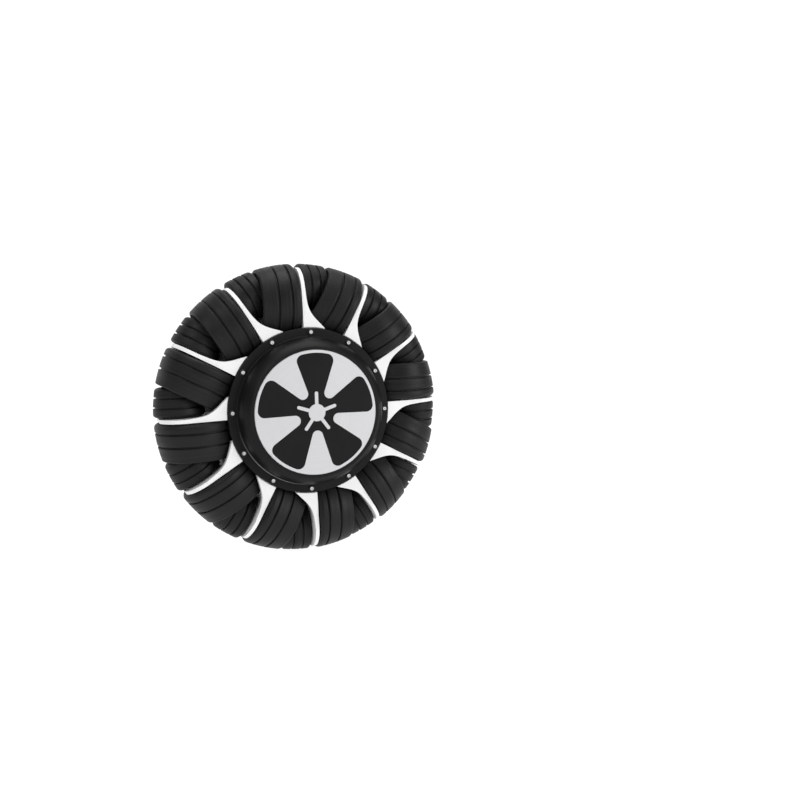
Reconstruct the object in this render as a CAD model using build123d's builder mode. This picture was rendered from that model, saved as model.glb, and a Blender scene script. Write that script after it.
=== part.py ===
from build123d import *
import os
from math import sin, cos, radians, sqrt

os.makedirs("parts", exist_ok=True)

# Omnidirectional hub-motor wheel.  Millimetres, +Z up, origin at the wheel centre,
# spin axis along Y.  The badge looks along -Y, the axle leaves along +Y.

# ---------------------------------------------------------------- driving dimensions
R_WHEEL = 101.6          # rolling radius (8 inch class wheel)
N_ARMS = 12              # arms, each with one big and one small roller
ARM_ANGLE = 93.5         # angle of the first arm above +X, seen from the front

# rollers: tangential axes, barrel surfaces that follow the rolling circle
A_BIG = 74.6             # radius of the big roller's axis
BIG_S0, BIG_S1 = 2.0, 27.8      # big roller's ends, measured from the arm's mid-plane
BIG_GROOVES = (8.4, 17.2)       # its tread grooves
A_SMALL = 84.6           # radius of the small roller's axis
SMALL_S0, SMALL_S1 = 2.0, 21.6
SMALL_GROOVES = (8.5, 15.1)
GROOVE_W, GROOVE_D = 1.3, 1.5   # tread grooves
BIG_CORE_R = 14.5        # hard core inside the tread
PIN_BIG_R, SLEEVE_BIG_R = 4.0, 5.0
PIN_SMALL_R, SLEEVE_SMALL_R = 3.0, 3.9
RUN = 0.08               # radial running clearance of a roller on its sleeve

# arms
ARM_T = 2.5              # plate thickness
ARM_HALF = 23.5          # half depth along Y outside the covers
ARM_FOOT = 22.0          # half depth under the covers' flanges
ARM_TIP = 98.5           # radius of the outer end
FOOT_IN = 47.6           # inner radius of the foot tabs
SCREW_R, SCREW_A = 53.7, 3.2    # screw circle, and screw angle clockwise of the arm

# covers
FLANGE_R, FLANGE_Y, FLANGE_BACK = 56.6, 24.5, 22.0
STEP_R = 50.9
BADGE_R, BADGE_Y, BADGE_SEAT = 42.0, 38.5, 36.5
END_Y = 19.0             # end faces of the drum

# motor
DRUM_R, DRUM_BORE = 46.2, 42.5
STATOR_R, STATOR_BORE, STATOR_HALF = 38.8, 14.0, 10.0
TEETH, TOOTH_W = 18, 5.0
MAGNETS, MAGNET_IN, MAGNET_HALF = 20, 39.6, 13.0

# axle and bearings
FRONT_SEAT_R, REAR_SEAT_R = 7.5, 10.0
FRONT_B = (-30.5, -23.5, 7.5, 9.3, 12.2, 14.0)   # y0, y1, bore, inner ring od, outer ring id, od
REAR_B = (24.0, 33.0, 10.0, 12.1, 15.6, 18.5)
SHOULDER_Y, JOURNAL_R, JOURNAL_END = 46.0, 8.0, 62.0
THREAD_R, THREAD_END, THREAD_PITCH = 7.0, 78.0, 1.5
CABLE_BORE_R = 3.5


def barrel(s, a):
    """Radius of a roller at distance s from its arm."""
    return sqrt(R_WHEEL ** 2 - s ** 2) - a


def rad(th):
    return Vector(cos(radians(th)), 0, sin(radians(th)))


def ccw(th):
    return Vector(-sin(radians(th)), 0, cos(radians(th)))


ARMS = [ARM_ANGLE + 360.0 / N_ARMS * i for i in range(N_ARMS)]


def save(part, label):
    part.label = label
    export_step(part, "parts/" + label + ".step")


def tyre(a, s0, s1, r0, r1, grooves):
    """Half section of a tread, (radius, distance from the arm): rounded ends, flat bands between the grooves."""
    pts = [(0, s0)]
    c = barrel(s0 + r0, a) - r0
    pts += [(c + r0 * sin(radians(t)), s0 + r0 - r0 * cos(radians(t))) for t in (0, 30, 60, 90)]
    for g in grooves:
        lo, hi = g - GROOVE_W / 2, g + GROOVE_W / 2
        floor = barrel(g, a) - GROOVE_D
        pts += [(barrel(lo, a), lo), (floor, lo), (floor, hi), (barrel(hi, a), hi)]
    c = barrel(s1 - r1, a) - r1
    pts += [(c + r1 * cos(radians(t)), s1 - r1 + r1 * sin(radians(t))) for t in (0, 30, 60, 90)]
    return pts + [(0, s1), (0, s0)]


# ---------------------------------------------------------------- big rollers
big_bore = SLEEVE_BIG_R + RUN
for i, th in enumerate(ARMS):
    centre = rad(th) * A_BIG
    axis = Axis(centre, ccw(th))
    # local x is the roller's radius, local y runs along its axis away from the arm
    plane = Plane(origin=centre, x_dir=rad(th), z_dir=(0, -1, 0))

    with BuildPart() as big_tread:
        with BuildSketch(plane):
            with BuildLine():
                Polyline(*tyre(A_BIG, BIG_S0, BIG_S1, 3.0, 1.4, BIG_GROOVES))
            make_face()
            # hard core pocket and its nose, then the hollow that the neighbour's small roller enters
            with BuildLine():
                Polyline((0, BIG_S0), (BIG_CORE_R, BIG_S0), (BIG_CORE_R, 13.0), (8.0, 13.0),
                         (8.0, 15.4), (8.4, 15.9), (11.2, 17.4), (13.7, 19.0), (16.3, 21.0),
                         (18.4, 23.2), (20.0, 25.3), (21.2, BIG_S1), (0, BIG_S1), (0, BIG_S0))
            make_face(mode=Mode.SUBTRACT)
        revolve(axis=axis)
    save(big_tread.part, "big_tread_%02d" % (i + 1))

    with BuildPart() as big_core:
        with BuildSketch(plane):
            with BuildLine():
                Polyline((big_bore, 2.7), (7.2, 2.7), (7.2, BIG_S0 + 0.2), (BIG_CORE_R - 0.8, BIG_S0 + 0.2),
                         (BIG_CORE_R, BIG_S0 + 1.0), (BIG_CORE_R, 13.0), (8.0, 13.0), (8.0, 15.0), (7.6, 15.4),
                         (7.0, 15.4), (7.0, 12.2), (big_bore, 12.2), (big_bore, 2.7))
            make_face()
        revolve(axis=axis)
    save(big_core.part, "big_core_%02d" % (i + 1))

# ---------------------------------------------------------------- small rollers
small_bore = SLEEVE_SMALL_R + RUN
for i, th in enumerate(ARMS):
    centre = rad(th) * A_SMALL
    axis = Axis(centre, ccw(th) * -1)
    plane = Plane(origin=centre, x_dir=rad(th), z_dir=(0, 1, 0))
    with BuildPart() as small_roller:
        with BuildSketch(plane):
            with BuildLine():
                Polyline(*tyre(A_SMALL, SMALL_S0, SMALL_S1, 2.0, 2.5, SMALL_GROOVES))
            make_face()
            with BuildLine():
                Polyline((0, 2.0), (5.6, 2.0), (5.6, 2.7), (small_bore, 2.7), (small_bore, 16.4),
                         (5.8, 16.4), (5.8, 20.6), (6.8, SMALL_S1), (0, SMALL_S1), (0, 2.0))
            make_face(mode=Mode.SUBTRACT)
        revolve(axis=axis)
    save(small_roller.part, "small_roller_%02d" % (i + 1))

# ---------------------------------------------------------------- arms
# foot edge, (radial, clockwise) from the arm's mid-plane: it scallops round the next big roller
FOOT_EDGE = [(55.4, 13.8), (60.0, 9.7), (64.2, 6.1), (68.7, 3.5), (75.0, 2.0), (84.0, ARM_T / 2)]
screw_x = SCREW_R * cos(radians(SCREW_A))
screw_c = SCREW_R * sin(radians(SCREW_A))

with BuildPart() as roller_arms:
    for th in ARMS:
        # plate in the radial-axial plane
        with BuildSketch(Plane(origin=(0, 0, 0), x_dir=rad(th), z_dir=ccw(th))) as s:
            with BuildLine():
                Polyline((DRUM_R + 0.1, -END_Y), (FOOT_IN, -END_Y), (FOOT_IN, -ARM_FOOT), (57.2, -ARM_FOOT),
                         (57.2, -ARM_HALF), (ARM_TIP, -ARM_HALF), (ARM_TIP, ARM_HALF), (57.2, ARM_HALF),
                         (57.2, ARM_FOOT), (FOOT_IN, ARM_FOOT), (FOOT_IN, END_Y), (DRUM_R + 0.1, END_Y),
                         (DRUM_R + 0.1, -END_Y))
            make_face()
            fillet(s.vertices().sort_by(Axis.X)[-2:], 17.0)
            with Locations((A_BIG, 0)):
                Circle(2.5, mode=Mode.SUBTRACT)
            with Locations((A_SMALL, 0)):
                Circle(2.0, mode=Mode.SUBTRACT)
        extrude(amount=ARM_T / 2, both=True)
        # foot tabs, front and rear: local x is radial, local y is clockwise, normal +Y
        for side in (-1, 1):
            for lo, hi, y0, y1 in ((FOOT_IN, 57.2, END_Y, ARM_FOOT), (57.2, 90.0, END_Y, ARM_HALF)):
                base = -y1 if side < 0 else y0
                with BuildSketch(Plane(origin=(0, base, 0), x_dir=rad(th), z_dir=(0, 1, 0))):
                    with BuildLine():
                        Spline(*FOOT_EDGE)
                        Polyline(FOOT_EDGE[-1], (84.0, 0), (FOOT_IN - 1, 0), (FOOT_IN - 1, 11.8), FOOT_EDGE[0])
                    make_face()
                    # the tab's two radial bands, cut by circles about the spin axis
                    Circle(hi, mode=Mode.INTERSECT)
                    Circle(lo, mode=Mode.SUBTRACT)
                extrude(amount=y1 - y0)
            # screw boss behind the tab, with its tapped hole
            y0 = -END_Y if side < 0 else 10.0
            with BuildSketch(Plane(origin=(0, y0, 0), x_dir=rad(th), z_dir=(0, 1, 0))):
                with Locations((screw_x, screw_c)):
                    Circle(2.2)
                with Locations((screw_x, 1.2)):
                    Rectangle(4.4, 2.4)
            extrude(amount=9.0)
            y0 = -ARM_FOOT - 1 if side < 0 else 13.0
            with BuildSketch(Plane(origin=(0, y0, 0), x_dir=rad(th), z_dir=(0, 1, 0))):
                with Locations((screw_x, screw_c)):
                    Circle(1.25)
            extrude(amount=10.0, mode=Mode.SUBTRACT)
save(roller_arms.part, "roller_arms")

# ---------------------------------------------------------------- roller pins, sleeves and clips
with BuildPart() as big_pins:
    for th in ARMS:
        c = rad(th) * A_BIG
        with BuildSketch(Plane(origin=c, x_dir=rad(th), z_dir=(0, -1, 0))):
            with BuildLine():
                Polyline((0, -1.25), (2.5, -1.25), (2.5, 1.25), (6.2, 1.25), (6.2, 2.4), (PIN_BIG_R, 2.4),
                         (PIN_BIG_R, 12.5), (3.3, 12.5), (3.3, 13.3), (PIN_BIG_R, 13.3), (PIN_BIG_R, 14.2),
                         (3.5, 14.7), (0, 14.7), (0, -1.25))
            make_face()
        revolve(axis=Axis(c, ccw(th)))
save(big_pins.part, "big_roller_pins")

with BuildPart() as big_sleeves:
    for th in ARMS:
        c = rad(th) * A_BIG
        with BuildSketch(Plane(origin=c + ccw(th) * 2.4, z_dir=ccw(th))):
            Circle(SLEEVE_BIG_R)
            Circle(PIN_BIG_R, mode=Mode.SUBTRACT)
        extrude(amount=10.0)
save(big_sleeves.part, "big_roller_sleeves")

with BuildPart() as big_clips:
    for th in ARMS:
        c = rad(th) * A_BIG
        with BuildSketch(Plane(origin=c + ccw(th) * 12.5, x_dir=rad(th), z_dir=ccw(th))):
            Circle(6.2)
            Circle(3.3, mode=Mode.SUBTRACT)
            with Locations((-5, 0)):
                Rectangle(10, 3.4, mode=Mode.SUBTRACT)
        extrude(amount=0.8)
save(big_clips.part, "big_roller_clips")

with BuildPart() as small_pins:
    for th in ARMS:
        c = rad(th) * A_SMALL
        with BuildSketch(Plane(origin=c, x_dir=rad(th), z_dir=(0, 1, 0))):
            with BuildLine():
                Polyline((0, -1.25), (2.0, -1.25), (2.0, 1.25), (4.9, 1.25), (4.9, 2.4), (PIN_SMALL_R, 2.4),
                         (PIN_SMALL_R, 16.7), (2.4, 16.7), (2.4, 17.4), (PIN_SMALL_R, 17.4), (PIN_SMALL_R, 18.2),
                         (2.6, 18.6), (0, 18.6), (0, -1.25))
            make_face()
        revolve(axis=Axis(c, ccw(th) * -1))
save(small_pins.part, "small_roller_pins")

with BuildPart() as small_sleeves:
    for th in ARMS:
        c = rad(th) * A_SMALL
        with BuildSketch(Plane(origin=c - ccw(th) * 2.4, z_dir=ccw(th) * -1)):
            Circle(SLEEVE_SMALL_R)
            Circle(PIN_SMALL_R, mode=Mode.SUBTRACT)
        extrude(amount=14.2)
save(small_sleeves.part, "small_roller_sleeves")

with BuildPart() as small_clips:
    for th in ARMS:
        c = rad(th) * A_SMALL
        with BuildSketch(Plane(origin=c - ccw(th) * 16.7, x_dir=rad(th), z_dir=ccw(th) * -1)):
            Circle(5.0)
            Circle(2.4, mode=Mode.SUBTRACT)
            with Locations((-4, 0)):
                Rectangle(8, 2.6, mode=Mode.SUBTRACT)
        extrude(amount=0.7)
save(small_clips.part, "small_roller_clips")

# ---------------------------------------------------------------- covers
with BuildPart() as front_cover:
    with BuildSketch(Plane.XY):
        with BuildLine():
            Polyline((STEP_R - 0.4, -25.2), (STEP_R, -24.9), (STEP_R, -FLANGE_Y), (FLANGE_R - 0.4, -FLANGE_Y),
                     (FLANGE_R, -FLANGE_Y + 0.4), (FLANGE_R, -FLANGE_BACK), (47.4, -FLANGE_BACK), (47.4, -END_Y),
                     (43.5, -END_Y), (43.5, -31.5), (41.5, -33.5), (17.5, -33.5), (17.5, -23.0), (14.0, -23.0),
                     (14.0, -30.5), (12.0, -30.5), (12.0, -33.5), (0, -33.5), (0, -BADGE_SEAT),
                     (BADGE_R + 0.1, -BADGE_SEAT), (BADGE_R + 0.1, -38.2), (BADGE_R + 0.5, -38.5), (44.2, -38.5))
            ThreePointArc((44.2, -38.5), (48.55, -33.6), (STEP_R - 0.4, -25.2))
        make_face()
    revolve(axis=Axis.Y)
    for th in ARMS:
        p = rad(th - SCREW_A) * SCREW_R
        with BuildSketch(Plane(origin=(p.X, -FLANGE_Y - 1, p.Z), z_dir=(0, 1, 0))):
            Circle(1.35)
        extrude(amount=4.0, mode=Mode.SUBTRACT)
save(front_cover.part, "front_cover")

with BuildPart() as rear_cover:
    with BuildSketch(Plane.XY):
        with BuildLine():
            Polyline((STEP_R - 0.4, 25.2), (STEP_R, 24.9), (STEP_R, FLANGE_Y), (FLANGE_R - 0.4, FLANGE_Y),
                     (FLANGE_R, FLANGE_Y - 0.4), (FLANGE_R, FLANGE_BACK), (47.4, FLANGE_BACK), (47.4, END_Y),
                     (43.5, END_Y), (43.5, 27.5), (41.5, 29.5), (22.5, 30.6), (22.5, 23.5), (18.5, 23.5),
                     (18.5, 33.0), (15.0, 33.0), (15.0, 33.8), (16.0, 33.8), (16.0, 38.3), (16.4, 38.7),
                     (22.8, 38.7), (24.0, 37.5), (24.6, 35.4), (26.0, 34.2), (38.0, 33.2))
            ThreePointArc((38.0, 33.2), (46.4, 30.6), (STEP_R - 0.4, 25.2))
        make_face()
    revolve(axis=Axis.Y)
    for th in ARMS:
        p = rad(th - SCREW_A) * SCREW_R
        with BuildSketch(Plane(origin=(p.X, FLANGE_Y + 1, p.Z), z_dir=(0, -1, 0))):
            Circle(1.35)
        extrude(amount=4.0, mode=Mode.SUBTRACT)
save(rear_cover.part, "rear_cover")

# ---------------------------------------------------------------- screws: M2.5 button heads, both sides
with BuildPart() as arm_screws:
    for th in ARMS:
        for side in (-1, 1):
            p = rad(th - SCREW_A) * SCREW_R
            o = Vector(p.X, side * FLANGE_Y, p.Z)
            out = Vector(0, side, 0)
            with BuildSketch(Plane(origin=o - out * 10.0, z_dir=out)):
                Circle(1.25)
            extrude(amount=10.0)
            with BuildSketch(Plane(origin=o, z_dir=out)):
                Circle(2.0)
            extrude(amount=0.7)
            with BuildSketch(Plane(origin=o + out * 0.7, z_dir=out)):
                Circle(2.0)
            extrude(amount=0.5, taper=45)
            with BuildSketch(Plane(origin=o + out * 0.3, z_dir=out)):
                RegularPolygon(0.85, 6)
            extrude(amount=2.0, mode=Mode.SUBTRACT)
save(arm_screws.part, "arm_screws")

# ---------------------------------------------------------------- badge
PETAL_A = 92.0           # angle of the first petal
badge_front = -BADGE_Y


with BuildPart() as badge_inlay:
    with BuildSketch(Plane(origin=(0, badge_front + 0.15, 0), x_dir=(1, 0, 0), z_dir=(0, 1, 0))) as s:
        # a disc less five wedges leaves five petals joined in the middle
        Circle(40.0)
        with PolarLocations(0, 5, start_angle=-(PETAL_A + 36)):
            Polygon((3.06, 0), (60, -17.3), (60, 17.3), align=None, mode=Mode.SUBTRACT)
        fillet([v for v in s.vertices() if sqrt(v.X ** 2 + v.Y ** 2) < 10], 3.7)
        fillet([v for v in s.vertices() if sqrt(v.X ** 2 + v.Y ** 2) > 39.9], 4.6)
    extrude(amount=0.85)
save(badge_inlay.part, "badge_inlay")

with BuildPart() as badge_disc:
    with BuildSketch(Plane(origin=(0, badge_front, 0), x_dir=(1, 0, 0), z_dir=(0, 1, 0))):
        Circle(BADGE_R)
    extrude(amount=BADGE_Y - BADGE_SEAT)
    chamfer(badge_disc.edges().filter_by(GeomType.CIRCLE).sort_by(Axis.Y)[0], 0.3)
    with BuildSketch(Plane(origin=(0, badge_front, 0), x_dir=(1, 0, 0), z_dir=(0, 1, 0))) as s:
        Circle(40.0)
        with PolarLocations(0, 5, start_angle=-(PETAL_A + 36)):
            Polygon((3.06, 0), (60, -17.3), (60, 17.3), align=None, mode=Mode.SUBTRACT)
        fillet([v for v in s.vertices() if sqrt(v.X ** 2 + v.Y ** 2) < 10], 3.7)
        fillet([v for v in s.vertices() if sqrt(v.X ** 2 + v.Y ** 2) > 39.9], 4.6)
    extrude(amount=1.0, mode=Mode.SUBTRACT)
save(badge_disc.part, "badge_disc")

with BuildPart() as badge_spider:
    with BuildSketch(Plane(origin=(0, badge_front - 0.3, 0), x_dir=(1, 0, 0), z_dir=(0, 1, 0))) as s:
        Circle(5.8)
        with PolarLocations(6.5, 5, start_angle=-PETAL_A):
            SlotOverall(15.4, 2.3)
    extrude(amount=0.45)
save(badge_spider.part, "badge_spider")

# ---------------------------------------------------------------- rotor
with BuildPart() as rotor_drum:
    with BuildSketch(Plane.XY):
        with BuildLine():
            Polyline((DRUM_BORE, -END_Y), (51.3, -END_Y), (51.3, -16.8), (48.2, -11.5), (DRUM_R, -7.0),
                     (DRUM_R, 7.0), (48.2, 11.5), (51.3, 16.8), (51.3, END_Y), (DRUM_BORE, END_Y),
                     (DRUM_BORE, -END_Y))
        make_face()
    revolve(axis=Axis.Y)
    # keyways for the arms' plates
    for th in ARMS:
        with BuildSketch(Plane(origin=(0, -END_Y, 0), x_dir=rad(th), z_dir=(0, 1, 0))):
            with Locations((DRUM_R + 3.1, 0)):
                Rectangle(6.0, ARM_T + 0.2)
        extrude(amount=2 * END_Y, mode=Mode.SUBTRACT)
save(rotor_drum.part, "rotor_drum")

with BuildPart() as rotor_magnets:
    with BuildSketch(Plane.XZ):
        Circle(DRUM_BORE)
        Circle(MAGNET_IN, mode=Mode.SUBTRACT)
        with PolarLocations(41.0, MAGNETS):
            Rectangle(6.0, 1.2, mode=Mode.SUBTRACT)
    extrude(amount=MAGNET_HALF, both=True)
save(rotor_magnets.part, "rotor_magnets")

# ---------------------------------------------------------------- stator
with BuildPart() as stator_core:
    with BuildSketch(Plane.XZ):
        Circle(STATOR_R)
        Circle(36.3, mode=Mode.SUBTRACT)
        with PolarLocations(37.5, TEETH, start_angle=10):
            Rectangle(4.0, 2.2, mode=Mode.SUBTRACT)
        Circle(22.5)
        with PolarLocations(29.5, TEETH):
            Rectangle(16.0, TOOTH_W)
        Circle(STATOR_BORE, mode=Mode.SUBTRACT)
    extrude(amount=STATOR_HALF, both=True)
save(stator_core.part, "stator_core")

with BuildPart() as stator_windings:
    with BuildSketch(Plane.XZ):
        with PolarLocations(29.5, TEETH):
            Rectangle(12.0, 8.0)
    extrude(amount=12.5, both=True)
    with BuildSketch(Plane.XZ):
        with PolarLocations(29.5, TEETH):
            Rectangle(16.0, TOOTH_W)
    extrude(amount=STATOR_HALF, both=True, mode=Mode.SUBTRACT)
save(stator_windings.part, "stator_windings")

with BuildPart() as hall_sensor_board:
    with BuildSketch(Plane(origin=(0, 12.5, 0), x_dir=(1, 0, 0), z_dir=(0, 1, 0))):
        Circle(35.0)
        Circle(24.5, mode=Mode.SUBTRACT)
        with Locations((0, 40)):
            Rectangle(100, 80, mode=Mode.INTERSECT)
    extrude(amount=1.6)
    with BuildSketch(Plane(origin=(0, 14.1, 0), x_dir=(1, 0, 0), z_dir=(0, 1, 0))):
        with PolarLocations(31.0, 3, start_angle=60, angular_range=60, endpoint=True):
            Rectangle(3.0, 4.0)
    extrude(amount=1.5)
save(hall_sensor_board.part, "hall_sensor_board")

# ---------------------------------------------------------------- axle
with BuildPart() as axle_shaft:
    pts = [(0, -31.5), (FRONT_SEAT_R - 0.5, -31.5), (FRONT_SEAT_R, -31.0), (FRONT_SEAT_R, -23.5), (9.0, -23.5),
           (9.0, -12.0), (STATOR_BORE - 1, -12.0), (STATOR_BORE, -11.0), (STATOR_BORE, STATOR_HALF),
           (17.0, STATOR_HALF), (17.0, 12.4), (11.6, 12.4), (11.6, 24.0), (REAR_SEAT_R, 24.0),
           (REAR_SEAT_R, SHOULDER_Y - 0.4), (REAR_SEAT_R - 0.4, SHOULDER_Y), (JOURNAL_R, SHOULDER_Y),
           (JOURNAL_R, JOURNAL_END - 0.5), (JOURNAL_R - 0.5, JOURNAL_END), (THREAD_R - 0.9, JOURNAL_END)]
    y = JOURNAL_END + 1.0
    pts.append((THREAD_R - 0.9, y))
    while y + THREAD_PITCH < THREAD_END - 0.4:
        pts += [(THREAD_R, y + THREAD_PITCH / 2), (THREAD_R - 0.9, y + THREAD_PITCH)]
        y += THREAD_PITCH
    pts += [(THREAD_R - 0.9, THREAD_END), (0, THREAD_END), (0, -31.5)]
    with BuildSketch(Plane.XY):
        with BuildLine():
            Polyline(*pts)
        make_face()
    revolve(axis=Axis.Y)
    # two flats that stop the axle turning, 11 mm across
    with BuildSketch(Plane(origin=(0, JOURNAL_END, 0), x_dir=(1, 0, 0), z_dir=(0, 1, 0))):
        with Locations((0, 10.5), (0, -10.5)):
            Rectangle(20, 10.0)
    extrude(amount=20.0, mode=Mode.SUBTRACT)
    # cable bore from the free end, and its outlet beside the stator
    with BuildSketch(Plane(origin=(0, THREAD_END, 0), z_dir=(0, -1, 0))):
        Circle(CABLE_BORE_R)
    extrude(amount=THREAD_END - 15.5, mode=Mode.SUBTRACT)
    with BuildSketch(Plane(origin=(0, 18.5, 0), z_dir=(0, 0, -1))):
        Circle(2.8)
    extrude(amount=15.0, mode=Mode.SUBTRACT)
save(axle_shaft.part, "axle_shaft")

with BuildPart() as cable_grommet:
    with BuildSketch(Plane.XY):
        with BuildLine():
            Polyline((2.6, THREAD_END - 9.0), (CABLE_BORE_R, THREAD_END - 9.0), (CABLE_BORE_R, THREAD_END),
                     (4.9, THREAD_END), (4.9, THREAD_END + 0.8), (4.2, THREAD_END + 1.6), (2.6, THREAD_END + 1.6),
                     (2.6, THREAD_END - 9.0))
        make_face()
    revolve(axis=Axis.Y)
save(cable_grommet.part, "cable_grommet")

# ---------------------------------------------------------------- bearings and seal
with BuildPart() as inner_rings:
    for y0, y1, r0, r1, r2, r3 in (FRONT_B, REAR_B):
        with BuildSketch(Plane(origin=(0, y0, 0), z_dir=(0, 1, 0))):
            Circle(r1)
            Circle(r0, mode=Mode.SUBTRACT)
        extrude(amount=y1 - y0)
save(inner_rings.part, "bearing_inner_rings")

with BuildPart() as outer_rings:
    for y0, y1, r0, r1, r2, r3 in (FRONT_B, REAR_B):
        with BuildSketch(Plane(origin=(0, y0, 0), z_dir=(0, 1, 0))):
            Circle(r3)
            Circle(r2, mode=Mode.SUBTRACT)
        extrude(amount=y1 - y0)
save(outer_rings.part, "bearing_outer_rings")

with BuildPart() as bearing_balls:
    for (y0, y1, r0, r1, r2, r3), n in ((FRONT_B, 11), (REAR_B, 13)):
        ball = (r2 - r1) / 2 - 0.05
        for k in range(n):
            p = rad(360.0 / n * k) * (r1 + ball)
            with Locations((p.X, (y0 + y1) / 2, p.Z)):
                Sphere(ball)
save(bearing_balls.part, "bearing_balls")

with BuildPart() as shaft_seal:
    with BuildSketch(Plane.XY):
        with BuildLine():
            Polyline((10.15, 34.2), (12.0, 33.8), (16.0, 33.8), (16.0, 38.3), (13.2, 38.3), (12.6, 37.6),
                     (11.6, 37.9), (10.15, 36.6), (10.15, 34.2))
        make_face()
    revolve(axis=Axis.Y)
save(shaft_seal.part, "shaft_seal")
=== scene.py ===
import bpy
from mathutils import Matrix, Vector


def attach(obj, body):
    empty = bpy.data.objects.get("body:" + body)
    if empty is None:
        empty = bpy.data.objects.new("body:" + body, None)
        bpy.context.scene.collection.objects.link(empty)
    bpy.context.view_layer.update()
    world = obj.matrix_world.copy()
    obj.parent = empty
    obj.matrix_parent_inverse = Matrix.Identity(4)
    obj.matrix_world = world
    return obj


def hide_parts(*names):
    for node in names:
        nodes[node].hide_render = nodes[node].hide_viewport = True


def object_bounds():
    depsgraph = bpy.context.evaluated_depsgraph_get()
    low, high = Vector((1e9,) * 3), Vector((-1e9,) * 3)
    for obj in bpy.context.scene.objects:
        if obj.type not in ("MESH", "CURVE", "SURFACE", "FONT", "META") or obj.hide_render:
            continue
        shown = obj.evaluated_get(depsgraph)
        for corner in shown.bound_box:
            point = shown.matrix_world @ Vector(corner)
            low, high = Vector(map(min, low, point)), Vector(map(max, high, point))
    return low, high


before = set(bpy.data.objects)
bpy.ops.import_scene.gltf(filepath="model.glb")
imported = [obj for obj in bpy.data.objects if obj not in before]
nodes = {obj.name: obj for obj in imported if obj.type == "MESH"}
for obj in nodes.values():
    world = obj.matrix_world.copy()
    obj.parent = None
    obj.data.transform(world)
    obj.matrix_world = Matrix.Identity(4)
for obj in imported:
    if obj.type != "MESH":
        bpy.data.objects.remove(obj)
CAD_BOX = [list(map(float, v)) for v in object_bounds()]

import bpy, bmesh, math
from math import sin, cos, radians, pi
from mathutils import Vector, Matrix

scene = bpy.context.scene

# ------------------------------------------------------------------ numbers shared with the CAD model, in metres
R_WHEEL = 0.1016
ARM_ANGLE = 93.5
A_BIG, A_SMALL = 0.0746, 0.0846
N_ARMS = 12


def rad(th):
    return Vector((cos(radians(th)), 0, sin(radians(th))))


def ccw(th):
    return Vector((-sin(radians(th)), 0, cos(radians(th))))


# ------------------------------------------------------------------ camera: fitted to the photograph
AZ, EL, ROLL = radians(-22.63), radians(4.42), radians(0.46)
F_PX, SCALE = 800.0, 1403.0          # focal length in pixels, pixels per metre at the wheel centre
CX, CY = 301.4, 407.8                # where the wheel centre lies in the 800 px frame
back = Vector((sin(AZ) * cos(EL), -cos(AZ) * cos(EL), sin(EL)))
right = Vector((cos(AZ), sin(AZ), 0))
up = back.cross(right)
right, up = cos(ROLL) * right + sin(ROLL) * up, -sin(ROLL) * right + cos(ROLL) * up
depth = F_PX / SCALE
loc = back * depth - right * ((CX - 400) / F_PX * depth) + up * ((CY - 400) / F_PX * depth)
cam_data = bpy.data.cameras.new("camera")
cam_data.sensor_width = 36.0
cam_data.lens = 36.0 * F_PX / 800.0
cam_data.clip_start, cam_data.clip_end = 0.01, 50
cam = bpy.data.objects.new("camera", cam_data)
scene.collection.objects.link(cam)
cam.matrix_world = Matrix((
    (right.x, up.x, back.x, loc.x),
    (right.y, up.y, back.y, loc.y),
    (right.z, up.z, back.z, loc.z),
    (0, 0, 0, 1)))
scene.camera = cam


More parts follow.
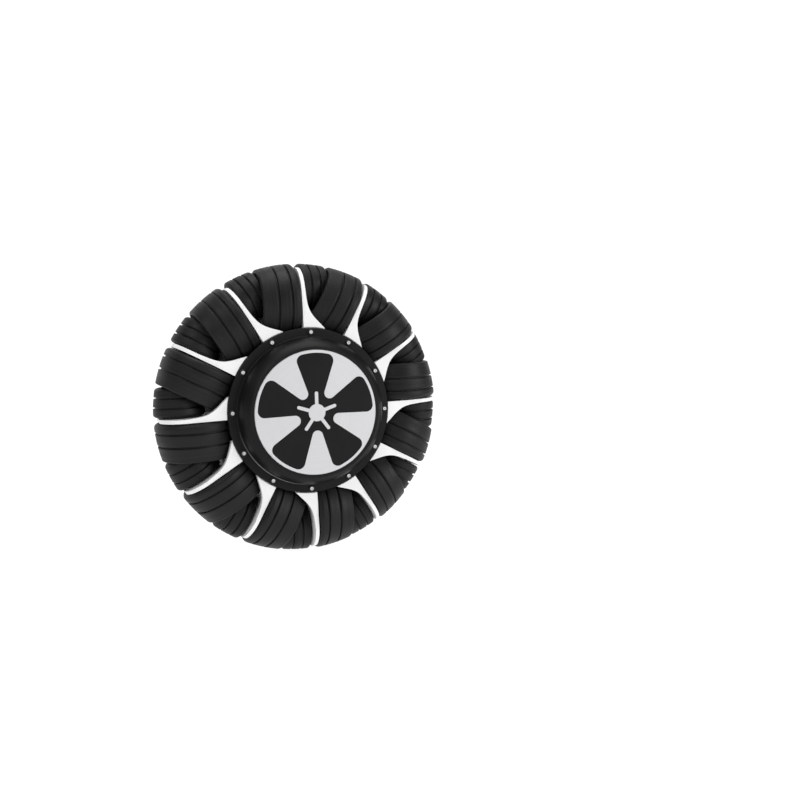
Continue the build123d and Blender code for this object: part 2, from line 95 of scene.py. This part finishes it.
# ------------------------------------------------------------------ material helpers
class Nodes:
    """A small wrapper that adds and wires shader nodes."""

    def __init__(self, name):
        self.mat = bpy.data.materials.new(name)
        self.mat.use_nodes = True
        self.t = self.mat.node_tree
        self.bsdf = self.t.nodes["Principled BSDF"]
        self.coord = self.t.nodes.new("ShaderNodeTexCoord").outputs["Object"]

    def new(self, kind, **props):
        n = self.t.nodes.new(kind)
        for k, v in props.items():
            setattr(n, k, v)
        return n

    def link(self, a, b):
        self.t.links.new(a, b)

    def set(self, **kw):
        for k, v in kw.items():
            self.bsdf.inputs[k.replace("_", " ")].default_value = v

    def math(self, op, a, b=None, c=None, clamp=False):
        n = self.new("ShaderNodeMath", operation=op, use_clamp=clamp)
        for i, v in enumerate((a, b, c)):
            if v is None:
                continue
            if isinstance(v, (int, float)):
                n.inputs[i].default_value = v
            else:
                self.link(v, n.inputs[i])
        return n.outputs[0]

    def vmath(self, op, a, b=None):
        n = self.new("ShaderNodeVectorMath", operation=op)
        for i, v in enumerate((a, b)):
            if v is None:
                continue
            if isinstance(v, (tuple, list, Vector)):
                n.inputs[i].default_value = tuple(v)
            else:
                self.link(v, n.inputs[i])
        return n

    def combine(self, x, y, z):
        n = self.new("ShaderNodeCombineXYZ")
        for i, v in enumerate((x, y, z)):
            if isinstance(v, (int, float)):
                n.inputs[i].default_value = v
            else:
                self.link(v, n.inputs[i])
        return n.outputs[0]

    def noise(self, vec, scale, detail=3.0, rough=0.5, dims="3D"):
        n = self.new("ShaderNodeTexNoise", noise_dimensions=dims)
        n.inputs["Scale"].default_value = scale
        n.inputs["Detail"].default_value = detail
        n.inputs["Roughness"].default_value = rough
        if dims == "1D":
            self.link(vec, n.inputs["W"])
        else:
            self.link(vec, n.inputs["Vector"])
        return n.outputs["Fac"]

    def ramp(self, fac, stops):
        n = self.new("ShaderNodeValToRGB")
        el = n.color_ramp.elements
        while len(el) < len(stops):
            el.new(0.5)
        for e, (p, c) in zip(el, stops):
            e.position = p
            e.color = (c[0], c[1], c[2], 1) if isinstance(c, (tuple, list)) else (c, c, c, 1)
        self.link(fac, n.inputs[0])
        return n.outputs[0]

    def range(self, fac, a, b, lo=0.0, hi=1.0):
        n = self.new("ShaderNodeMapRange")
        n.inputs[1].default_value, n.inputs[2].default_value = lo, hi
        n.inputs[3].default_value, n.inputs[4].default_value = a, b
        self.link(fac, n.inputs[0])
        return n.outputs[0]

    def mix(self, fac, a, b):
        n = self.new("ShaderNodeMix", data_type="RGBA")
        for sock, v in ((n.inputs[0], fac), (n.inputs[6], a), (n.inputs[7], b)):
            if isinstance(v, (int, float)):
                sock.default_value = v
            elif isinstance(v, (tuple, list)):
                sock.default_value = (v[0], v[1], v[2], 1)
            else:
                self.link(v, sock)
        return n.outputs[2]

    def bump(self, height, strength, distance, normal=None):
        n = self.new("ShaderNodeBump")
        n.inputs["Strength"].default_value = strength
        n.inputs["Distance"].default_value = distance
        self.link(height, n.inputs["Height"])
        if normal is not None:
            self.link(normal, n.inputs["Normal"])
        return n.outputs["Normal"]

    def edge_wear(self, radius=0.0006, width=0.35):
        """0 on flats, towards 1 on sharp convex edges."""
        b = self.new("ShaderNodeBevel", samples=4)
        b.inputs["Radius"].default_value = radius
        g = self.new("ShaderNodeNewGeometry")
        d = self.vmath("DOT_PRODUCT", b.outputs["Normal"], g.outputs["Normal"]).outputs["Value"]
        return self.range(d, 1.0, 0.0, 1 - width, 1.0)


def local_frame(n, centre, axis):
    """Coordinates about a roller's axis: s along it, radius from it."""
    rel = n.vmath("SUBTRACT", n.coord, centre).outputs[0]
    s = n.vmath("DOT_PRODUCT", rel, axis).outputs["Value"]
    off = n.vmath("SUBTRACT", rel, n_scale(n, axis, s)).outputs[0]
    return rel, s, off


def n_scale(n, vec, value):
    v = n.new("ShaderNodeVectorMath", operation="SCALE")
    v.inputs[0].default_value = tuple(vec)
    n.link(value, v.inputs["Scale"])
    return v.outputs[0]


def rubber(name, centre, axis, seed):
    """Moulded rubber with fine turned lines round the roller's own axis."""
    n = Nodes(name)
    rel, s, off = local_frame(n, centre, axis)
    # lines: quick along the axis, slow round it
    slow = n.vmath("SCALE", off)
    slow.inputs["Scale"].default_value = 22.0
    along = n.math("MULTIPLY", s, 1400.0)
    vec = n.vmath("ADD", slow.outputs[0], n.combine(along, seed * 7.3, 0.0)).outputs[0]
    lines = n.noise(vec, 1.0, 4.0, 0.6)
    broad = n.noise(n.vmath("ADD", n.combine(n.math("MULTIPLY", s, 260.0), seed * 3.1, 0.0), slow.outputs[0]).outputs[0], 1.0, 2.0, 0.5)
    grain = n.noise(n.coord, 2600.0, 2.0, 0.6)
    patch = n.noise(n.coord, 55.0, 3.0, 0.55)
    col = n.mix(n.range(lines, 0.0, 1.0, 0.3, 0.7), (0.0050, 0.0050, 0.0053), (0.0135, 0.0135, 0.0139))
    col = n.mix(n.range(patch, 0.0, 0.35, 0.35, 0.75), col, (0.0140, 0.0140, 0.0144))
    n.link(col, n.bsdf.inputs["Base Color"])
    r = n.math("ADD", n.range(broad, 0.40, 0.58, 0.25, 0.75), n.range(grain, -0.03, 0.03))
    n.link(r, n.bsdf.inputs["Roughness"])
    h = n.math("ADD", n.math("MULTIPLY", lines, 1.0), n.math("MULTIPLY", grain, 0.35))
    n.link(n.bump(h, 0.5, 0.00014), n.bsdf.inputs["Normal"])
    n.set(Specular_IOR_Level=0.2)
    return n.mat


def satin_white():
    n = Nodes("satin_white_paint")
    peel = n.noise(n.coord, 900.0, 2.0, 0.5)
    tone = n.noise(n.coord, 40.0, 2.0, 0.5)
    col = n.mix(n.range(tone, 0.0, 1.0, 0.3, 0.7), (0.87, 0.87, 0.875), (0.92, 0.92, 0.925))
    wear = n.edge_wear(0.0004, 0.3)
    col = n.mix(n.math("MULTIPLY", wear, 0.25), col, (0.62, 0.62, 0.63))
    n.link(col, n.bsdf.inputs["Base Color"])
    n.link(n.range(peel, 0.34, 0.44), n.bsdf.inputs["Roughness"])
    n.link(n.bump(peel, 0.12, 0.0001), n.bsdf.inputs["Normal"])
    n.set(Coat_Weight=0.15, Coat_Roughness=0.25)
    return n.mat


def radial(n, centre=(0, 0, 0)):
    """Distance from the wheel's spin axis."""
    flat = n.vmath("MULTIPLY", n.coord, (1, 0, 1)).outputs[0]
    return n.vmath("LENGTH", flat).outputs["Value"], flat


def cover_black():
    n = Nodes("satin_black_cover")
    rr, flat = radial(n)
    sep = n.new("ShaderNodeSeparateXYZ")
    n.link(n.coord, sep.inputs[0])
    key = n.math("ADD", n.math("MULTIPLY", rr, 1500.0), n.math("MULTIPLY", sep.outputs["Y"], 1500.0))
    slow = n.vmath("SCALE", flat)
    slow.inputs["Scale"].default_value = 18.0
    lines = n.noise(n.vmath("ADD", slow.outputs[0], n.combine(0.0, key, 0.0)).outputs[0], 1.0, 3.0, 0.6)
    grain = n.noise(n.coord, 3200.0, 2.0, 0.5)
    patch = n.noise(n.coord, 35.0, 2.0, 0.5)
    col = n.mix(n.range(patch, 0.0, 1.0, 0.3, 0.7), (0.0055, 0.0055, 0.0058), (0.0085, 0.0085, 0.0089))
    wear = n.edge_wear(0.0005, 0.35)
    col = n.mix(n.math("MULTIPLY", wear, 0.35), col, (0.10, 0.10, 0.10))
    # painted highlight: a thin light line painted on the step round the dome, only at the lower left
    off = n.math("ABSOLUTE", n.math("SUBTRACT", rr, 0.0508))
    band = n.range(off, 1.0, 0.0, 0.00012, 0.00030)
    low = n.range(sep.outputs["Z"], 1.0, 0.0, -0.036, -0.012)
    face = n.range(sep.outputs["X"], 1.0, 0.0, 0.015, 0.034)
    painted_step_highlight = n.math("MULTIPLY", n.math("MULTIPLY", band, low), face)
    # mix the painted highlight line into the cover colour
    col = n.mix(n.math("MULTIPLY", painted_step_highlight, 0.8), col, (0.30, 0.30, 0.30))
    n.link(col, n.bsdf.inputs["Base Color"])
    n.link(n.range(lines, 0.34, 0.48, 0.2, 0.8), n.bsdf.inputs["Roughness"])
    h = n.math("ADD", lines, n.math("MULTIPLY", grain, 0.25))
    n.link(n.bump(h, 0.15, 0.00006), n.bsdf.inputs["Normal"])
    n.set(Specular_IOR_Level=0.13, Coat_Weight=0.01, Coat_Roughness=0.25)
    return n.mat


def badge_silver():
    n = Nodes("satin_silver_badge")
    rr, flat = radial(n)
    slow = n.vmath("SCALE", flat)
    slow.inputs["Scale"].default_value = 25.0
    lines = n.noise(n.vmath("ADD", slow.outputs[0], n.combine(0.0, n.math("MULTIPLY", rr, 2400.0), 0.0)).outputs[0], 1.0, 3.0, 0.6)
    col = n.mix(n.range(lines, 0.0, 1.0, 0.25, 0.75), (0.575, 0.58, 0.59), (0.635, 0.635, 0.645))
    n.link(col, n.bsdf.inputs["Base Color"])
    n.link(n.range(lines, 0.36, 0.5, 0.2, 0.8), n.bsdf.inputs["Roughness"])
    n.link(n.bump(lines, 0.06, 0.00004), n.bsdf.inputs["Normal"])
    n.set(Metallic=0.3)
    return n.mat


def badge_black():
    n = Nodes("satin_black_inlay")
    grain = n.noise(n.coord, 2800.0, 2.0, 0.5)
    patch = n.noise(n.coord, 60.0, 2.0, 0.5)
    col = n.mix(n.range(patch, 0.0, 1.0, 0.3, 0.7), (0.0095, 0.0095, 0.0099), (0.0120, 0.0120, 0.0124))
    n.link(col, n.bsdf.inputs["Base Color"])
    n.link(n.range(grain, 0.44, 0.56), n.bsdf.inputs["Roughness"])
    n.link(n.bump(grain, 0.12, 0.00005), n.bsdf.inputs["Normal"])
    n.set(Specular_IOR_Level=0.09)
    return n.mat


def metal(name, lo, hi, rough, scale=1200.0, along_y=False, bump=0.08, metallic=1.0):
    """Turned or ground metal: streaks round the spin axis, or plain grain."""
    n = Nodes(name)
    if along_y:
        sep = n.new("ShaderNodeSeparateXYZ")
        n.link(n.coord, sep.inputs[0])
        vec = n.combine(n.math("MULTIPLY", sep.outputs["X"], 30.0), n.math("MULTIPLY", sep.outputs["Y"], scale), n.math("MULTIPLY", sep.outputs["Z"], 30.0))
        f = n.noise(vec, 1.0, 4.0, 0.6)
    else:
        f = n.noise(n.coord, scale, 3.0, 0.55)
    patch = n.noise(n.coord, 90.0, 3.0, 0.55)
    n.link(n.mix(n.range(f, 0.0, 1.0, 0.25, 0.75), lo, hi), n.bsdf.inputs["Base Color"])
    n.link(n.math("ADD", n.range(f, rough - 0.06, rough + 0.06, 0.2, 0.8), n.range(patch, -0.05, 0.07)), n.bsdf.inputs["Roughness"])
    n.link(n.bump(f, bump, 0.00005), n.bsdf.inputs["Normal"])
    n.set(Metallic=metallic)
    return n.mat


def flange_screw():
    """Blackened button heads with a painted highlight, a light disc at each head's centre, folded on to one twelfth
    of the screw circle.
    """
    n = Nodes("blackened_screw")
    sep = n.new("ShaderNodeSeparateXYZ")
    n.link(n.coord, sep.inputs[0])
    ang = n.math("ARCTAN2", sep.outputs["Z"], sep.outputs["X"])
    step = radians(30)
    first = radians(ARM_ANGLE - 3.2)
    turn = n.math("SUBTRACT", n.math("FLOORED_MODULO", n.math("ADD", ang, step / 2 - first + 4 * pi), step), step / 2)
    rr, flat = radial(n)
    u = n.math("SUBTRACT", n.math("MULTIPLY", rr, n.math("COSINE", turn)), 0.0537)
    v = n.math("MULTIPLY", rr, n.math("SINE", turn))
    d = n.math("SQRT", n.math("ADD", n.math("MULTIPLY", u, u), n.math("MULTIPLY", v, v)))
    # painted highlight: a light disc at the centre of each screw head
    painted_glint_mask = n.range(d, 1.0, 0.0, 0.00105, 0.00125)
    grain = n.noise(n.coord, 1500.0, 3.0, 0.55)
    dark = n.mix(grain, (0.010, 0.010, 0.0105), (0.02, 0.02, 0.0205))
    light = n.mix(grain, (0.78, 0.78, 0.79), (0.92, 0.92, 0.93))
    n.link(n.mix(painted_glint_mask, dark, light), n.bsdf.inputs["Base Color"])
    n.link(n.range(grain, 0.34, 0.46), n.bsdf.inputs["Roughness"])
    n.link(n.bump(grain, 0.08, 0.00005), n.bsdf.inputs["Normal"])
    n.set(Specular_IOR_Level=0.3)
    return n.mat


def plastic(name, lo, hi, rough, scale=1800.0, spec=0.4, bump=0.1):
    n = Nodes(name)
    g = n.noise(n.coord, scale, 3.0, 0.6)
    p = n.noise(n.coord, 70.0, 2.0, 0.5)
    n.link(n.mix(n.range(p, 0.0, 1.0, 0.3, 0.7), lo, hi), n.bsdf.inputs["Base Color"])
    n.link(n.range(g, rough - 0.05, rough + 0.07), n.bsdf.inputs["Roughness"])
    n.link(n.bump(g, bump, 0.00006), n.bsdf.inputs["Normal"])
    n.set(Specular_IOR_Level=spec)
    return n.mat


def copper_wire():
    n = Nodes("enamelled_copper_wire")
    w = n.new("ShaderNodeTexWave", wave_type="BANDS", bands_direction="Y")
    w.inputs["Scale"].default_value = 380.0
    w.inputs["Distortion"].default_value = 0.6
    n.link(n.coord, w.inputs["Vector"])
    f = w.outputs["Fac"]
    n.link(n.mix(f, (0.30, 0.10, 0.035), (0.66, 0.27, 0.11)), n.bsdf.inputs["Base Color"])
    n.link(n.range(f, 0.42, 0.28), n.bsdf.inputs["Roughness"])
    n.link(n.bump(f, 0.5, 0.0003), n.bsdf.inputs["Normal"])
    n.set(Metallic=0.8)
    return n.mat


def laminated():
    n = Nodes("stacked_laminations")
    w = n.new("ShaderNodeTexWave", wave_type="BANDS", bands_direction="Y")
    w.inputs["Scale"].default_value = 300.0
    n.link(n.coord, w.inputs["Vector"])
    f = w.outputs["Fac"]
    n.link(n.mix(f, (0.10, 0.10, 0.105), (0.30, 0.30, 0.31)), n.bsdf.inputs["Base Color"])
    n.link(n.range(f, 0.55, 0.38), n.bsdf.inputs["Roughness"])
    n.link(n.bump(f, 0.3, 0.0002), n.bsdf.inputs["Normal"])
    n.set(Metallic=0.9)
    return n.mat


M = {
    "arm": satin_white(),
    "cover": cover_black(),
    "silver": badge_silver(),
    "inlay": badge_black(),
    "flange_screw": flange_screw(),
    "screw": metal("zinc_plated_steel", (0.62, 0.62, 0.63), (0.80, 0.80, 0.81), 0.28, 1500.0),
    "pin": metal("ground_steel", (0.55, 0.55, 0.56), (0.72, 0.72, 0.73), 0.22, 1800.0),
    "axle": metal("turned_steel", (0.36, 0.36, 0.37), (0.52, 0.52, 0.53), 0.32, 2600.0, along_y=True, bump=0.15),
    "bronze": metal("sintered_bronze", (0.42, 0.26, 0.11), (0.62, 0.42, 0.20), 0.45, 2200.0, bump=0.25),
    "alloy": metal("machined_alloy", (0.50, 0.50, 0.51), (0.66, 0.66, 0.67), 0.36, 1900.0, along_y=True),
    "magnet": metal("nickel_plate", (0.55, 0.55, 0.54), (0.68, 0.67, 0.65), 0.25),
    "core": plastic("glass_filled_nylon", (0.022, 0.022, 0.024), (0.034, 0.034, 0.036), 0.5),
    "seal": plastic("nitrile_rubber", (0.014, 0.014, 0.014), (0.022, 0.022, 0.022), 0.55),
    "board": plastic("circuit_board", (0.018, 0.11, 0.045), (0.03, 0.16, 0.07), 0.38),
    "copper": copper_wire(),
    "lamination": laminated(),
}
USE = {
    "roller_arms": "arm", "front_cover": "cover", "rear_cover": "cover", "badge_disc": "silver", "badge_spider": "silver",
    "badge_inlay": "inlay", "arm_screws": "flange_screw", "big_roller_pins": "pin", "small_roller_pins": "pin",
    "big_roller_sleeves": "bronze", "small_roller_sleeves": "bronze", "big_roller_clips": "screw", "small_roller_clips": "screw",
    "rotor_drum": "alloy", "rotor_magnets": "magnet", "stator_core": "lamination", "stator_windings": "copper",
    "hall_sensor_board": "board", "bearing_inner_rings": "pin", "bearing_outer_rings": "pin", "bearing_balls": "pin",
    "shaft_seal": "seal", "cable_grommet": "seal", "axle_shaft": "axle",
}


def paint(name, mat):
    ob = nodes[name]
    for slot in ob.material_slots:
        slot.material = mat
    if not ob.material_slots:
        ob.data.materials.append(mat)


for name, key in USE.items():
    paint(name, M[key])


# ------------------------------------------------------------------ moulded treads: turned meshes with rounded ribs
def barrel(s, a):
    return math.sqrt(101.58 ** 2 - s * s) - a


def arc(cx, cy, r, a0, a1, n):
    return [(cx + r * cos(radians(a0 + (a1 - a0) * j / n)), cy + r * sin(radians(a0 + (a1 - a0) * j / n))) for j in range(n + 1)]


def tread_profile(a, s0, s1, r0, r1, grooves, inner):
    """Closed half section in mm, (radius, distance from the arm), from the near end to the far end."""
    w, d, e = 1.3, 1.5, 0.28
    c = barrel(s0 + r0, a) - r0
    pts = arc(c, s0 + r0, r0, -90, 0, 8)
    last = s0 + r0
    for g in grooves + [None]:
        stop = (g - w / 2 - e) if g else (s1 - r1)
        for j in range(1, 7):
            q = last + (stop - last) * j / 6
            pts.append((barrel(q, a), q))
        if g is None:
            break
        lo, hi, floor = g - w / 2, g + w / 2, barrel(g, a) - d
        top = barrel(lo, a)
        pts += [(top - 0.08, lo - 0.09), (top - e, lo)]
        pts += [(floor + 0.35, lo), (floor + 0.1, lo + 0.1), (floor, lo + 0.35), (floor, hi - 0.35), (floor + 0.1, hi - 0.1), (floor + 0.35, hi)]
        top = barrel(hi, a)
        pts += [(top - e, hi), (top - 0.08, hi + 0.09), (top, hi + e)]
        last = hi + e
    c = barrel(s1 - r1, a) - r1
    pts += arc(c, s1 - r1, r1, 0, 90, 6)[1:]
    return pts + inner


def turned(name, centre, axis, up_dir, profile, segs, mat, body, node):
    """Turn a closed half section round an axis into a closed mesh that stands for a CAD tread."""
    side = axis.cross(up_dir)
    bm = bmesh.new()
    rings = []
    for j in range(segs):
        ang = 2 * pi * j / segs
        d = up_dir * cos(ang) + side * sin(ang)
        rings.append([bm.verts.new(centre + (d * r + axis * s) * 0.001) for r, s in profile])
    n = len(profile)
    for j in range(segs):
        a, b = rings[j], rings[(j + 1) % segs]
        for k in range(n):
            bm.faces.new((a[k], a[(k + 1) % n], b[(k + 1) % n], b[k]))
    bmesh.ops.recalc_face_normals(bm, faces=bm.faces)
    me = bpy.data.meshes.new(name)
    bm.to_mesh(me)
    bm.free()
    me.shade_smooth()
    me.set_sharp_from_angle(angle=radians(42))
    me.materials.append(mat)
    ob = bpy.data.objects.new(name, me)
    scene.collection.objects.link(ob)
    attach(ob, body)
    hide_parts(node)
    return ob


big_inner = [(21.2, 27.8), (20.0, 25.3), (18.4, 23.2), (16.3, 21.0), (13.7, 19.0), (11.2, 17.4), (8.4, 15.9), (8.0, 15.4), (8.0, 13.0), (14.5, 13.0), (14.5, 2.0)]
small_inner = [(6.8, 21.6), (5.8, 20.6), (5.8, 16.4), (3.98, 16.4), (3.98, 2.7), (5.6, 2.7), (5.6, 2.0)]
big_prof = tread_profile(74.6, 2.0, 27.8, 3.0, 1.4, [8.4, 17.2], big_inner)
small_prof = tread_profile(84.6, 2.0, 21.6, 2.0, 2.5, [8.5, 15.1], small_inner)
for i in range(N_ARMS):
    th = ARM_ANGLE + 30 * i
    k = "%02d" % (i + 1)
    paint("big_core_" + k, M["core"])
    turned("tread_big_" + k, rad(th) * A_BIG, ccw(th), rad(th), big_prof, 112,
           rubber("rubber_big_" + k, rad(th) * A_BIG, ccw(th), i + 1), "big_" + k, "big_tread_" + k)
    turned("tread_small_" + k, rad(th) * A_SMALL, -ccw(th), rad(th), small_prof, 88,
           rubber("rubber_small_" + k, rad(th) * A_SMALL, ccw(th), i + 20), "small_" + k, "small_roller_" + k)

# ------------------------------------------------------------------ floor, backdrop and light
floor_mat = Nodes("pale_floor")
spots = floor_mat.noise(floor_mat.coord, 6.0, 2.0, 0.5)
floor_mat.link(floor_mat.mix(floor_mat.range(spots, 0.0, 1.0, 0.3, 0.7), (0.14, 0.14, 0.14), (0.16, 0.16, 0.16)), floor_mat.bsdf.inputs["Base Color"])
floor_mat.set(Roughness=0.9, Specular_IOR_Level=0.1, Emission_Color=(1, 1, 1, 1), Emission_Strength=0.97)
bm = bmesh.new()
z0 = CAD_BOX[0][2] - 0.0002
prof = [(-4.0, z0), (1.2, z0)]
for j in range(1, 17):
    a = radians(90 * j / 16)
    prof.append((1.2 + 0.8 * sin(a), z0 + 0.8 * (1 - cos(a))))
prof.append((2.0, z0 + 3.5))
rows = [[bm.verts.new((x, y, z)) for y, z in prof] for x in (-5.0, 5.0)]
for a, b in zip(range(len(prof) - 1), range(1, len(prof))):
    f = bm.faces.new((rows[0][a], rows[1][a], rows[1][b], rows[0][b]))
    f.smooth = True
me = bpy.data.meshes.new("studio_floor")
bm.to_mesh(me)
bm.free()
floor = bpy.data.objects.new("studio_floor", me)
me.materials.append(floor_mat.mat)
scene.collection.objects.link(floor)

world = bpy.data.worlds.new("studio")
scene.world = world
world.use_nodes = True
bg = world.node_tree.nodes["Background"]
bg.inputs[0].default_value = (1, 1, 1, 1)
bg.inputs[1].default_value = 0.2


def area(name, pos, target, size, power, size_y=None):
    d = bpy.data.lights.new(name, "AREA")
    d.energy = power
    d.size = size
    if size_y:
        d.shape = "RECTANGLE"
        d.size_y = size_y
    o = bpy.data.objects.new(name, d)
    scene.collection.objects.link(o)
    o.location = pos
    o.rotation_euler = (Vector(target) - Vector(pos)).to_track_quat("-Z", "Y").to_euler()
    return o


area("key", (-1.1, -1.0, 1.2), (0, 0, 0), 0.9, 7)
area("top", (0.1, -0.1, 1.4), (0, 0, 0), 1.0, 8)
area("front", (1.5, -1.7, 0.6), (0, 0, 0), 1.2, 24)
area("backdrop_wash", (0, 0.2, 2.2), (0, 1.9, 0.3), 2.0, 15)
scene.view_settings.view_transform = "Standard"
scene.view_settings.look = "None"
